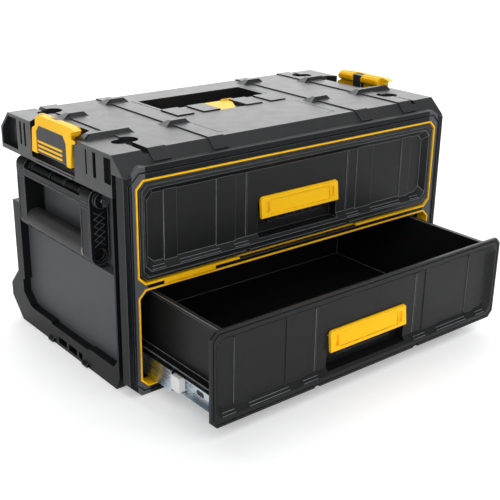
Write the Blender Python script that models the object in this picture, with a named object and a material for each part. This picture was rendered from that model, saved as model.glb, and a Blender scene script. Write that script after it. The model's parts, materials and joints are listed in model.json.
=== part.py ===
"""Two-drawer stacking tool box: case, top deck, front bezel, two drawers on telescopic
slides, side latches and fold-down side handles. Metres, +Z up, front towards -Y.
The origin is the middle of the case's footprint, on its underside. Most lengths along Y
are given as a depth behind the front plane of the bezel."""

import math

import bmesh
import bpy
from mathutils import Matrix, Vector

# Driving dimensions
CASE_WIDTH = 0.554
CASE_HEIGHT = 0.3088
CASE_DEPTH = 0.324
HALF = CASE_WIDTH / 2
FRONT = -CASE_DEPTH / 2
GAP = 0.0003

# Case shell
PANEL_X = 0.250
LOWER_PANEL_X = 0.2643
LOWER_PANEL_TOP = 0.1475
WALL = 0.0025
INNER_X = PANEL_X - WALL
FLOOR_TOP = 0.004
SHELL_FRONT = 0.0253
SHELL_BACK = 0.3140
SHELL_TOP = 0.2557
RAIL_TOP = 0.0265
LEDGE_TOP = 0.0295

# Top deck
BEVEL_DEPTH = 0.0247
BEVEL_FOOT = 0.0003
DECK_FOOT = 0.286
DECK_BACK = 0.3178
DECK_BACK_TOP = 0.2937
DECK_SKIN = 0.004
SKIRT_FOOT = 0.256
SKIRT_INNER_X = 0.262
SLOT_LOW, SLOT_HIGH = 0.2720, 0.3035
WELL_LEFT, WELL_RIGHT = -0.0975, 0.0855
WELL_NEAR, WELL_FAR = 0.182, 0.249
WELL_FLOOR = 0.2795
WELL_WALL = 0.0025
# Cleats: left and right end, near and far depth
CLEATS = (
    (-0.2745, -0.1970, 0.099, 0.118),
    (-0.1525, -0.1105, 0.099, 0.118),
    (0.1000, 0.1420, 0.099, 0.118),
    (0.1900, 0.2675, 0.099, 0.118),
    (-0.2400, -0.1980, 0.210, 0.229),
    (0.1900, 0.2400, 0.214, 0.233),
    (-0.1505, -0.1085, 0.254, 0.273),
    (0.0995, 0.1415, 0.254, 0.273),
)
CLEAT_HEIGHT = 0.0065
CLEAT_RAMP, CLEAT_HEEL = 0.0130, 0.0065
STRIPS = ((0.116, 0.139), (0.203, 0.228))
STRIP_HEIGHT = 0.0015

# Bezel and drawer bays
BEZEL_TOP = 0.296
BEZEL_CHAMFER = 0.0165
BEZEL_RIM = 0.016
LIP_DEPTH = 0.0097
BAY_PITCH = 0.1377
RING_HALF = 0.261
RING_LOW, RING_HIGH = 0.0104, 0.1431
RING_CHAMFER = 0.0102
RING_WIDTH = 0.0026
RING_DEPTH = 0.018
RING_PROUD = 0.0006
PATCH = (-0.223, -0.145)
RING_BREAK = 0.106

# Drawers, in the lower bay; the upper ones are BAY_PITCH higher
DRAWER_OPEN = 0.1396
FRONT_HALF = 0.2564
FRONT_LOW, FRONT_HIGH = 0.0164, 0.1396
FRONT_CHAMFER = 0.0086
FRONT_RIM = 0.004
FRONT_THICK = 0.010
FACE_DEPTH = 0.0075
TUB_HALF = 0.2330
TUB_LOW, TUB_HIGH = 0.0235, 0.1335
TUB_BACK = 0.3025
TUB_WALL = 0.0028
PULL_HALF = 0.069
RECESS_HALF = 0.071
RECESS_LOW, RECESS_HIGH = 0.0300, 0.0800
RECESS_BACK = 0.0210
RECESS_WALL = 0.0025
RELEASE_DEPTH, RELEASE_Z = 0.0165, 0.0740
RELEASE_HALF = 0.048
RELEASE_PIN_RADIUS = 0.0015

# Telescopic slides: distances in from the shell's wall, and heights from the middle
SLIDE_MIDDLE = 0.0345
SHEET = 0.0012
CABINET_HALF, CABINET_LIP = 0.0175, 0.0095
MIDDLE_HALF, MIDDLE_WEB, MIDDLE_LIP = 0.0146, 0.0018, 0.0115
INNER_HALF, INNER_WEB, INNER_LIP = 0.0120, 0.0138, 0.0060
CABINET_ENDS = (0.0320, 0.2980)
MIDDLE_ENDS = (0.0266, 0.2900)
INNER_ENDS = (0.0106, 0.2960)
STOP_LENGTH = 0.0160

# Side latches
LATCH_NEAR, LATCH_FAR = 0.120, 0.220
LATCH_LOW, LATCH_HIGH = 0.271, 0.323
LATCH_FACE, LATCH_BACK = 0.279, 0.269
LATCH_X, LATCH_Z = 0.2700, 0.2775
LATCH_PIN_RADIUS = 0.002
POCKET_NEAR, POCKET_FAR = 0.1130, 0.2275
POCKET_X, POCKET_MOUTH = 0.2385, 0.2765
POCKET_TAPER = 0.027
POCKET_FLARE = 0.0115

# Side handles
PIVOT_X, PIVOT_Z = 0.2653, 0.240
ARM_RADIUS = 0.0137
ARMS = ((0.079, 0.101), (0.252, 0.274))
GRIP_Z = 0.168
ARM_FOOT_Z = 0.1655
GRIP_RADIUS = 0.0141
PIN_RADIUS = 0.003
BORE_PLAY = 0.0003

# Stacking lock on the deck
SLIDER_LEFT, SLIDER_RIGHT = -0.0305, 0.0148
SLIDER_NEAR, SLIDER_FAR = 0.140, 0.187
SLIDER_LOW, SLIDER_HIGH = 0.3059, 0.3085
TAB_MIDDLE = -0.008
TAB_NEAR, TAB_FAR = 0.140, 0.1815
TABS = ((0.0235, 0.0520), (0.0680, 0.0955))

MATERIALS = {
    "case_black": ((0.045, 0.046, 0.049), 0.55, 0.0),
    "deck_black": ((0.055, 0.056, 0.060), 0.45, 0.0),
    "drawer_black": ((0.030, 0.031, 0.033), 0.50, 0.0),
    "handle_black": ((0.040, 0.041, 0.044), 0.50, 0.0),
    "grip_rubber": ((0.030, 0.030, 0.032), 0.75, 0.0),
    "trim_yellow": ((1.00, 0.560, 0.010), 0.40, 0.0),
    "label_grey": ((0.060, 0.062, 0.070), 0.45, 0.0),
    "zinc_steel": ((0.62, 0.66, 0.70), 0.30, 1.0),
    "stop_white": ((0.85, 0.85, 0.83), 0.45, 0.0),
}
AXES = "XYZ"
SIDES = {"left": -1, "right": 1}
BAYS = {"lower": 0.0, "upper": BAY_PITCH}


def deep(distance):
    """The y of a point this far behind the bezel's front plane."""
    return FRONT + distance


# Scene helpers


def clear_scene():
    for obj in list(bpy.data.objects):
        bpy.data.objects.remove(obj, do_unlink=True)


def material(name):
    colour, roughness, metallic = MATERIALS[name]
    made = bpy.data.materials.get(name) or bpy.data.materials.new(name)
    made.use_nodes = True
    shader = made.node_tree.nodes["Principled BSDF"]
    shader.inputs["Base Color"].default_value = (*colour, 1.0)
    shader.inputs["Roughness"].default_value = roughness
    shader.inputs["Metallic"].default_value = metallic
    return made


def pivot(name, place):
    """An empty on a joint's axis, which its moving pieces are parented to."""
    empty = bpy.data.objects.new(name, None)
    empty.empty_display_size = 0.02
    empty.location = Vector(place)
    bpy.context.collection.objects.link(empty)
    return empty


def link(obj, parent):
    bpy.context.collection.objects.link(obj)
    if parent is not None:
        obj.parent = parent
        obj.matrix_parent_inverse = Matrix.Translation(-parent.location)


# Shapes: each is a closed shell, in world coordinates


def loft(outline_a, place_a, outline_b, place_b, axis):
    """A closed solid between two outlines with the same number of points, square to an axis."""
    index = AXES.index(axis)

    def point(pair, place):
        values = list(pair)
        values.insert(index, place)
        return values

    shape = bmesh.new()
    first = [shape.verts.new(point(pair, place_a)) for pair in outline_a]
    second = [shape.verts.new(point(pair, place_b)) for pair in outline_b]
    shape.faces.new(first)
    shape.faces.new(second)
    for i in range(len(first)):
        j = (i + 1) % len(first)
        shape.faces.new((first[i], first[j], second[j], second[i]))
    bmesh.ops.recalc_face_normals(shape, faces=shape.faces)
    return shape


def prism(outline, low, high, axis):
    return loft(outline, low, outline, high, axis)


def box(corner, opposite):
    (x0, y0, z0), (x1, y1, z1) = corner, opposite
    return prism([(x0, z0), (x1, z0), (x1, z1), (x0, z1)], y0, y1, "Y")


def rod(middle, radius, low, high, axis, count=20):
    turn = 2 * math.pi / count
    outline = [
        (middle[0] + radius * math.cos(i * turn), middle[1] + radius * math.sin(i * turn))
        for i in range(count)
    ]
    return prism(outline, low, high, axis)


def ring(outer, inner, low, high):
    """A closed frame along Y between an outer and an inner outline of (x, z) points."""
    shape = bmesh.new()
    loops = [
        [shape.verts.new((x, place, z)) for x, z in outline]
        for outline, place in ((outer, low), (outer, high), (inner, high), (inner, low))
    ]
    for k, loop in enumerate(loops):
        other = loops[(k + 1) % 4]
        for i in range(len(loop)):
            j = (i + 1) % len(loop)
            shape.faces.new((loop[i], loop[j], other[j], other[i]))
    bmesh.ops.recalc_face_normals(shape, faces=shape.faces)
    return shape


def octagon(half, low, high, chamfer):
    """The front view of a box with chamfered corners, as (x, z) points."""
    return [
        (-half + chamfer, low),
        (half - chamfer, low),
        (half, low + chamfer),
        (half, high - chamfer),
        (half - chamfer, high),
        (-half + chamfer, high),
        (-half, high - chamfer),
        (-half, low + chamfer),
    ]


def capsule(middle_top, middle_bottom, radius, count=9):
    """A slot outline round two (x, z) centres, one above the other."""
    points = []
    for i in range(count):
        angle = math.pi * i / (count - 1)
        points.append(
            (middle_top[0] + radius * math.cos(angle), middle_top[1] + radius * math.sin(angle))
        )
    for i in range(count):
        angle = math.pi + math.pi * i / (count - 1)
        points.append(
            (
                middle_bottom[0] + radius * math.cos(angle),
                middle_bottom[1] + radius * math.sin(angle),
            )
        )
    return points


def mesh_of(shapes, name):
    """One mesh that holds all the shells."""
    whole = bmesh.new()
    for shape in shapes:
        part = bpy.data.meshes.new(name)
        shape.to_mesh(part)
        shape.free()
        whole.from_mesh(part)
        bpy.data.meshes.remove(part)
    mesh = bpy.data.meshes.new(name)
    whole.to_mesh(mesh)
    whole.free()
    return mesh


def bounds(shape):
    places = [vert.co for vert in shape.verts]
    return [(min(p[i] for p in places), max(p[i] for p in places)) for i in range(3)]


def apart(one, other):
    """Whether two bounding boxes are clear of each other."""
    return any(a[0] > b[1] or a[1] < b[0] for a, b in zip(one, other))


def separate_groups(shapes):
    """The shapes in groups within which no two shapes touch."""
    groups = []
    for shape in shapes:
        limits = bounds(shape)
        for group in groups:
            if all(apart(limits, other) for other, _ in group):
                group.append((limits, shape))
                break
        else:
            groups.append([(limits, shape)])
    return [[shape for _, shape in group] for group in groups]


def piece(name, finish, base, steps=(), parent=None, round_angle=None):
    """One sub-part: a base shell, then unions and differences in the order given."""
    obj = bpy.data.objects.new(name, mesh_of([base], name))
    link(obj, parent)
    obj.data.materials.append(material(finish))
    for operation, shapes in steps:
        for group in separate_groups(shapes):
            helper_name = f"{name}_step{len(obj.modifiers) + 1}"
            helper = bpy.data.objects.new(helper_name, mesh_of(group, helper_name))
            link(helper, parent)
            helper.hide_render = True
            helper.display_type = "WIRE"
            step = obj.modifiers.new(helper_name, "BOOLEAN")
            step.operation = operation
            step.solver = "EXACT"
            step.object = helper
    if round_angle:
        obj.data.shade_smooth()
        obj.data.set_sharp_from_angle(angle=math.radians(round_angle))
    return obj


def coil(name, middle, radius, wire, ends, turns, parent):
    """A spring wound round an axis along Y, as a bevelled curve."""
    steps_per_turn = 12
    count = turns * steps_per_turn
    curve = bpy.data.curves.new(name, "CURVE")
    curve.dimensions = "3D"
    curve.bevel_depth = wire / 2
    curve.bevel_resolution = 1
    curve.use_fill_caps = True
    line = curve.splines.new("POLY")
    line.points.add(count)
    for i, point in enumerate(line.points):
        angle = 2 * math.pi * i / steps_per_turn
        along = ends[0] + (ends[1] - ends[0]) * i / count
        place = turned(middle, radius, angle, along)
        point.co = (*place, 1.0)
    obj = bpy.data.objects.new(name, curve)
    link(obj, parent)
    curve.materials.append(material("zinc_steel"))
    return obj


def turned(middle, radius, angle, along):
    """A point at an angle round a coil's axis. A middle of (x, z) has its axis along Y."""
    axis, a, b = middle
    first = a + radius * math.cos(angle)
    second = b + radius * math.sin(angle)
    return (along, first, second) if axis == "X" else (first, along, second)


# The case


def side_flange(side):
    """The raised frame round a side's recess: front edge, bottom rail and rear rail."""
    outline = [
        (deep(SHELL_FRONT), 0.018),
        (deep(0.0330), 0.0),
        (deep(0.2945), 0.0),
        (deep(0.3236), 0.029),
        (deep(0.3238), 0.049),
        (deep(0.2988), 0.076),
        (deep(0.2988), 0.184),
        (deep(0.2795), 0.184),
        (deep(0.2795), 0.068),
        (deep(0.2850), 0.066),
        (deep(0.2850), 0.047),
        (deep(0.2660), 0.0313),
        (deep(0.2540), LEDGE_TOP),
        (deep(0.2030), LEDGE_TOP),
        (deep(0.2030), RAIL_TOP),
        (deep(0.1020), RAIL_TOP),
        (deep(0.1020), LEDGE_TOP),
        (deep(0.0388), LEDGE_TOP),
        (deep(0.0285), 0.0415),
        (deep(0.0285), SHELL_TOP),
        (deep(SHELL_FRONT), SHELL_TOP),
    ]
    return prism(outline, side * (PANEL_X - 0.001), side * HALF, "X")


def rear_bumper(side):
    """The rear corner foot, carried round behind the back wall."""
    outline = [
        (deep(SHELL_BACK - 0.001), 0.0184),
        (deep(0.3236), 0.029),
        (deep(0.3238), 0.049),
        (deep(SHELL_BACK - 0.001), 0.062),
    ]
    return prism(outline, side * 0.215, side * (PANEL_X + 0.001), "X")


def lower_panel(side):
    """The panel below the handle, which stands further out than the handle's well."""
    outline = [
        (deep(0.0265), 0.010),
        (deep(0.2600), 0.010),
        (deep(0.2900), 0.040),
        (deep(0.2900), LOWER_PANEL_TOP),
        (deep(0.0265), LOWER_PANEL_TOP),
    ]
    return prism(outline, side * (PANEL_X - 0.001), side * LOWER_PANEL_X, "X")


def panel_cavity(side):
    """The hollow behind a lower panel, open underneath."""
    roof = LOWER_PANEL_TOP - WALL
    outline = [
        (deep(0.0345), -0.010),
        (deep(0.2560), -0.010),
        (deep(0.2560), 0.012),
        (deep(0.2830), 0.041),
        (deep(0.2830), roof),
        (deep(0.0345), roof),
    ]
    return prism(outline, side * PANEL_X, side * (LOWER_PANEL_X - WALL), "X")


def handle_knuckles(side):
    """Hinge barrels and end ears on the case, which the handle's pin runs through."""
    shapes = []
    for near, far, radius in (
        (0.0685, 0.0780, 0.0095),
        (0.1050, 0.1520, 0.0078),
        (0.1880, 0.2500, 0.0078),
        (0.2750, 0.2830, 0.0095),
    ):
        shapes.append(rod((side * PIVOT_X, PIVOT_Z), radius, deep(near), deep(far), "Y", 24))
        shapes.append(
            box(
                (side * 0.249, deep(near), PIVOT_Z - radius * 0.6),
                (side * PIVOT_X, deep(far), PIVOT_Z + radius * 0.8),
            )
        )
    return shapes


def rail_catches(side):
    """Slots along the middle of a bottom rail, where a stacked unit's latch holds."""
    return [
        box((side * 0.270, deep(near), 0.0045), (side * 0.290, deep(far), 0.0140))
        for near, far in ((0.1195, 0.1290), (0.1345, 0.1570), (0.1625, 0.1850))
    ]


def case_shell():
    """Floor, sides and back in one moulding, open at the front and at the top."""
    body = prism(
        [
            (deep(SHELL_FRONT), 0.0),
            (deep(0.2945), 0.0),
            (deep(SHELL_BACK), 0.0194),
            (deep(SHELL_BACK), SHELL_TOP),
            (deep(SHELL_FRONT), SHELL_TOP),
        ],
        -PANEL_X,
        PANEL_X,
        "X",
    )
    hollow = prism(
        [
            (deep(0.0), FLOOR_TOP),
            (deep(0.2935), FLOOR_TOP),
            (deep(SHELL_BACK - WALL), 0.0219),
            (deep(SHELL_BACK - WALL), SHELL_TOP + 0.02),
            (deep(0.0), SHELL_TOP + 0.02),
        ],
        -INNER_X,
        INNER_X,
        "X",
    )
    joins, cuts = [], []
    for side in SIDES.values():
        joins.append(side_flange(side))
        joins.append(rear_bumper(side))
        joins.append(lower_panel(side))
        joins += handle_knuckles(side)
        cuts.append(panel_cavity(side))
        cuts += rail_catches(side)
        cuts.append(
            rod((side * PIVOT_X, PIVOT_Z), PIN_RADIUS + BORE_PLAY, deep(0.06), deep(0.29), "Y")
        )
    piece(
        "case_shell",
        "case_black",
        body,
        (("DIFFERENCE", [hollow]), ("UNION", joins), ("DIFFERENCE", cuts)),
    )


def divider_shelf():
    piece(
        "divider_shelf",
        "case_black",
        box(
            (-INNER_X + 2 * GAP, deep(SHELL_FRONT + GAP), 0.1440),
            (INNER_X - 2 * GAP, deep(SHELL_BACK - WALL - 2 * GAP), 0.1475),
        ),
    )


def bezel_outline(gap=0.0):
    """The bezel's front view: small bottom corners, and top corners stepped for the deck."""
    half, low, top = HALF + gap, -gap, BEZEL_TOP + gap
    right = [
        (half - BEZEL_CHAMFER, low),
        (half, low + BEZEL_CHAMFER),
        (half, 0.2852 + gap),
        (0.2702 + gap, 0.2855 + gap),
        (0.2536 + gap, top),
    ]
    return right + [(-x, z) for x, z in reversed(right)]


def front_bezel():
    """The face frame, with a bay for each drawer and a shadow groove round both."""
    rim = prism(bezel_outline(), deep(0.0), deep(BEZEL_RIM), "Y")
    sleeve = prism(
        octagon(0.266, 0.004, DECK_FOOT - GAP, 0.012),
        deep(BEZEL_RIM - 0.001),
        deep(SHELL_FRONT - GAP),
        "Y",
    )
    under_deck = box(
        (-0.3, deep(LIP_DEPTH), DECK_FOOT - GAP), (0.3, deep(0.05), BEZEL_TOP + 0.01)
    )
    groove = ring(
        octagon(0.2708, 0.0045, 0.2900, 0.0145),
        octagon(0.2683, 0.0070, 0.2875, 0.0135),
        deep(-0.01),
        deep(0.004),
    )
    cuts = [under_deck, groove]
    for lift in BAYS.values():
        bay = octagon(
            RING_HALF + GAP, RING_LOW + lift - GAP, RING_HIGH + lift + GAP, RING_CHAMFER
        )
        cuts.append(prism(bay, deep(-0.01), deep(0.05), "Y"))
    cuts.append(
        box(
            (PATCH[0] - GAP, deep(-0.01), RING_HIGH - 0.001),
            (PATCH[1] + GAP, deep(0.0045), RING_LOW + BAY_PITCH + 0.001),
        )
    )
    piece("front_bezel", "case_black", rim, (("UNION", [sleeve]), ("DIFFERENCE", cuts)))


def trim_rings():
    """The yellow sleeves that line the two bays; the upper one carries a grip patch."""
    for bay, lift in BAYS.items():
        low, high = RING_LOW + lift, RING_HIGH + lift
        outer = octagon(RING_HALF, low, high, RING_CHAMFER)
        inner = octagon(
            RING_HALF - RING_WIDTH, low + RING_WIDTH, high - RING_WIDTH, RING_CHAMFER - 0.0011
        )
        sleeve = ring(outer, inner, deep(-RING_PROUD), deep(RING_DEPTH))
        steps = ()
        if bay == "upper":
            patch = box(
                (PATCH[0], deep(-RING_PROUD), RING_HIGH + GAP),
                (PATCH[1], deep(0.004), low + 0.001),
            )
            window = box(
                (-RING_BREAK, deep(-0.01), low - 0.001),
                (RING_BREAK, deep(0.006), low + RING_WIDTH + 0.001),
            )
            steps = (("UNION", [patch]), ("DIFFERENCE", [window]))
        piece(f"{bay}_trim_ring", "trim_yellow", sleeve, steps)


# The top deck


def pocket_outline(side, grow=0.0):
    """The plan of a latch pocket: open outboard, tapered in front and flared at the rear."""
    near, far = POCKET_NEAR - grow, POCKET_FAR + grow
    floor = POCKET_X - grow
    return [
        (side * 0.290, deep(near)),
        (side * POCKET_MOUTH, deep(near)),
        (side * floor, deep(near + POCKET_TAPER)),
        (side * floor, deep(far + POCKET_FLARE)),
        (side * 0.264, deep(far + POCKET_FLARE)),
        (side * POCKET_MOUTH, deep(far)),
        (side * 0.290, deep(far)),
    ]


def pocket_block(side):
    outline = [(side * min(abs(x), HALF - 0.0001), y) for x, y in pocket_outline(side, 0.0025)]
    return prism(outline, SKIRT_FOOT, CASE_HEIGHT, "Z")


def cleat(left, right, near, far):
    """A stacking hook: a leaning front face, a long ramp at its left end and a short heel."""
    foot, crest = CASE_HEIGHT - 0.001, CASE_HEIGHT + CLEAT_HEIGHT
    profile = [
        (deep(near), foot),
        (deep(near), CASE_HEIGHT + 0.0005),
        (deep(near + 0.0045), crest),
        (deep(near + 0.0105), crest),
        (deep(far), CASE_HEIGHT + 0.0008),
        (deep(far), foot),
    ]
    shape = prism(profile, left, right, "X")
    for vert in shape.verts:
        rise = (vert.co.z - foot) / (crest - foot)
        vert.co.x += rise * (CLEAT_RAMP if vert.co.x < (left + right) / 2 else -CLEAT_HEEL)
    return shape


def cleat_slit(left, near):
    """The slanted slit behind the ramp of a cleat, open at its front face."""
    low, high = CASE_HEIGHT + 0.0006, CASE_HEIGHT + 0.0050
    outline = [
        (left + 0.0046, low),
        (left + 0.0072, low),
        (left + 0.0160, high),
        (left + 0.0134, high),
    ]
    return prism(outline, deep(near - 0.001), deep(near + 0.0080), "Y")


def keyhole(side, middle, slot_end):
    """A double round recess with a slot running out to the deck's edge."""
    x, y = side * 0.232, deep(middle)
    top = CASE_HEIGHT + 0.01
    return [
        rod((x - side * 0.006, y), 0.0135, CASE_HEIGHT - 0.0060, top, "Z", 24),
        rod((x + side * 0.005, y), 0.0105, CASE_HEIGHT - 0.0045, top, "Z", 24),
        box((x - 0.004, y, CASE_HEIGHT - 0.0052), (x + 0.004, deep(slot_end), top)),
    ]


def keyhole_block(side, middle, slot_end):
    """The thicker floor under a keyhole recess."""
    x = side * 0.235
    return box(
        (x - 0.022, deep(min(middle - 0.018, slot_end)), CASE_HEIGHT - 0.0095),
        (x + 0.026, deep(max(middle + 0.018, slot_end)), CASE_HEIGHT - 0.002),
    )


def deck_strip(side, inner, outer):
    """A low raised strip across the deck from front to back, carried down both bevels."""
    outline = [
        (deep(0.0105), 0.2945),
        (deep(0.0105), BEZEL_TOP + 0.0018),
        (deep(0.0238), CASE_HEIGHT + STRIP_HEIGHT),
        (deep(0.2943), CASE_HEIGHT + STRIP_HEIGHT),
        (deep(0.3120), 0.2928),
        (deep(0.3105), 0.2900),
        (deep(0.2925), 0.3070),
        (deep(0.0260), 0.3070),
    ]
    return prism(outline, side * inner, side * outer, "X")


def deck_grooves():
    """The fine lines that frame the front field, the well and the tabs."""
    floor, top = CASE_HEIGHT - 0.0012, CASE_HEIGHT + 0.02
    spans = [
        ((-0.1105, 0.0400), (-0.1093, 0.0960)),
        ((-0.1105, 0.0400), (-0.0960, 0.0412)),
        ((0.0915, 0.0400), (0.0927, 0.1230)),
        ((0.0780, 0.0400), (0.0927, 0.0412)),
        ((WELL_LEFT - 0.0070, 0.1790), (WELL_LEFT - 0.0058, 0.2560)),
        ((WELL_RIGHT + 0.0058, 0.1790), (WELL_RIGHT + 0.0070, 0.2560)),
    ]
    for left, right in tab_spans():
        spans.append(((left - 0.0012, TAB_NEAR - 0.0012), (right + 0.0012, TAB_NEAR)))
        spans.append(((left - 0.0012, TAB_NEAR - 0.0012), (left, TAB_FAR)))
        spans.append(((right, TAB_NEAR - 0.0012), (right + 0.0012, TAB_FAR)))
    return [
        box((x0, deep(near), floor), (x1, deep(far), top)) for (x0, near), (x1, far) in spans
    ]


def skirt_slots(side):
    """Upright slots in the side band round the latch, and the open pocket at its rear."""
    rear_pocket = [
        (deep(0.2680), SKIRT_FOOT + 0.006),
        (deep(0.3143), SKIRT_FOOT + 0.006),
        (deep(0.3143), 0.2835),
        (deep(0.2930), 0.3045),
        (deep(0.2680), 0.3045),
    ]
    slots = [prism(rear_pocket, side * 0.2655, side * 0.300, "X")]
    for middle, width in (
        (0.034, 0.016),
        (0.064, 0.0075),
        (0.0835, 0.0035),
        (0.245, 0.005),
        (0.257, 0.005),
    ):
        slots.append(
            box(
                (side * (HALF - 0.007), deep(middle - width / 2), SLOT_LOW),
                (side * 0.300, deep(middle + width / 2), SLOT_HIGH),
            )
        )
    return slots


def tab_spans():
    """Left and right edges of the four tabs in front of the well."""
    return [
        sorted((TAB_MIDDLE + side * inner, TAB_MIDDLE + side * outer))
        for side in SIDES.values()
        for inner, outer in TABS
    ]


def well_tabs():
    """Pairs of low pads along the well's front edge, with a gap for the lock slider."""
    return [
        box(
            (left, deep(TAB_NEAR), CASE_HEIGHT - 0.002),
            (right, deep(TAB_FAR), CASE_HEIGHT + 0.0016),
        )
        for left, right in tab_spans()
    ]


def top_deck():
    """The lid of the case: a flat top with cleats, a well and latch pockets, and a skirt."""
    hull = prism(
        [
            (deep(BEVEL_FOOT), DECK_FOOT),
            (deep(BEVEL_DEPTH), CASE_HEIGHT),
            (deep(DECK_BACK_TOP), CASE_HEIGHT),
            (deep(DECK_BACK), 0.285),
            (deep(DECK_BACK), SKIRT_FOOT),
            (deep(SHELL_FRONT), SKIRT_FOOT),
            (deep(SHELL_FRONT), DECK_FOOT),
        ],
        -HALF,
        HALF,
        "X",
    )
    inner_top = CASE_HEIGHT - DECK_SKIN
    inner_back = SHELL_BACK + 2 * GAP
    under = prism(
        [
            (deep(0.020), SKIRT_FOOT - 0.01),
            (deep(inner_back), SKIRT_FOOT - 0.01),
            (deep(inner_back), 0.2820),
            (deep(DECK_BACK_TOP - 0.002), inner_top),
            (deep(0.036), inner_top),
            (deep(0.036), DECK_FOOT + GAP),
            (deep(0.020), DECK_FOOT + GAP),
        ],
        -SKIRT_INNER_X,
        SKIRT_INNER_X,
        "X",
    )
    joins = [
        box(
            (WELL_LEFT - WELL_WALL, deep(WELL_NEAR - WELL_WALL), WELL_FLOOR - WELL_WALL),
            (WELL_RIGHT + WELL_WALL, deep(WELL_FAR + WELL_WALL), CASE_HEIGHT - 0.001),
        ),
        box(
            (SLIDER_LEFT - 0.004, deep(SLIDER_NEAR - 0.005), 0.3020),
            (SLIDER_RIGHT + 0.004, deep(WELL_NEAR), CASE_HEIGHT - 0.001),
        ),
    ]
    cuts = [
        box(
            (WELL_LEFT, deep(WELL_NEAR), WELL_FLOOR),
            (WELL_RIGHT, deep(WELL_FAR), CASE_HEIGHT + 0.02),
        ),
        box(
            (SLIDER_LEFT - 2 * GAP, deep(SLIDER_NEAR - 0.001), SLIDER_LOW - GAP),
            (SLIDER_RIGHT + 2 * GAP, deep(WELL_NEAR + 0.002), CASE_HEIGHT + 0.02),
        ),
        prism(bezel_outline(GAP), deep(-0.01), deep(LIP_DEPTH + GAP), "Y"),
    ]
    cuts += deck_grooves()
    for left, right, near, far in CLEATS:
        joins.append(cleat(left, right, near, far))
        cuts.append(cleat_slit(left, near))
    for side in SIDES.values():
        joins.append(pocket_block(side))
        joins += [deck_strip(side, *edges) for edges in STRIPS]
        cuts.append(prism(pocket_outline(side), SKIRT_FOOT + 0.006, CASE_HEIGHT + 0.02, "Z"))
        cuts.append(
            rod(
                (side * LATCH_X, LATCH_Z),
                LATCH_PIN_RADIUS + BORE_PLAY,
                deep(0.109),
                deep(0.241),
                "Y",
            )
        )
        cuts += skirt_slots(side)
        for middle, slot_end in ((0.071, 0.010), (0.262, 0.300)):
            joins.append(keyhole_block(side, middle, 0.036 if middle < 0.1 else 0.290))
            cuts += keyhole(side, middle, slot_end)
    piece(
        "top_deck",
        "deck_black",
        hull,
        (("DIFFERENCE", [under]), ("UNION", joins), ("DIFFERENCE", cuts), ("UNION", well_tabs())),
    )


def lock_slider():
    """The sliding lock plate in the deck, with a thumb lip and a tongue over the well."""
    parent = pivot("lock_slider_axis", (0.0, deep(SLIDER_NEAR), SLIDER_LOW))
    shoulder = TAB_FAR + 0.001
    wing_left, wing_right = -0.0360, 0.0235
    plate = prism(
        [
            (SLIDER_LEFT, deep(SLIDER_NEAR)),
            (-0.0040, deep(SLIDER_NEAR)),
            (SLIDER_RIGHT, deep(0.1725)),
            (SLIDER_RIGHT, deep(shoulder)),
            (wing_right, deep(shoulder)),
            (wing_right, deep(SLIDER_FAR)),
            (wing_left, deep(SLIDER_FAR)),
            (wing_left, deep(shoulder)),
            (SLIDER_LEFT, deep(shoulder)),
        ],
        SLIDER_LOW,
        SLIDER_HIGH,
        "Z",
    )
    lip = box(
        (0.0040, deep(SLIDER_FAR - 0.0030), SLIDER_HIGH - 0.001),
        (wing_right, deep(SLIDER_FAR), SLIDER_HIGH + 0.0018),
    )
    tongue = box(
        (-0.0280, deep(SLIDER_FAR - 0.0030), SLIDER_LOW - 0.010),
        (0.0160, deep(SLIDER_FAR), SLIDER_LOW + 0.001),
    )
    piece("lock_slider", "trim_yellow", plate, (("UNION", [lip, tongue]),), parent)


# The drawers


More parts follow.
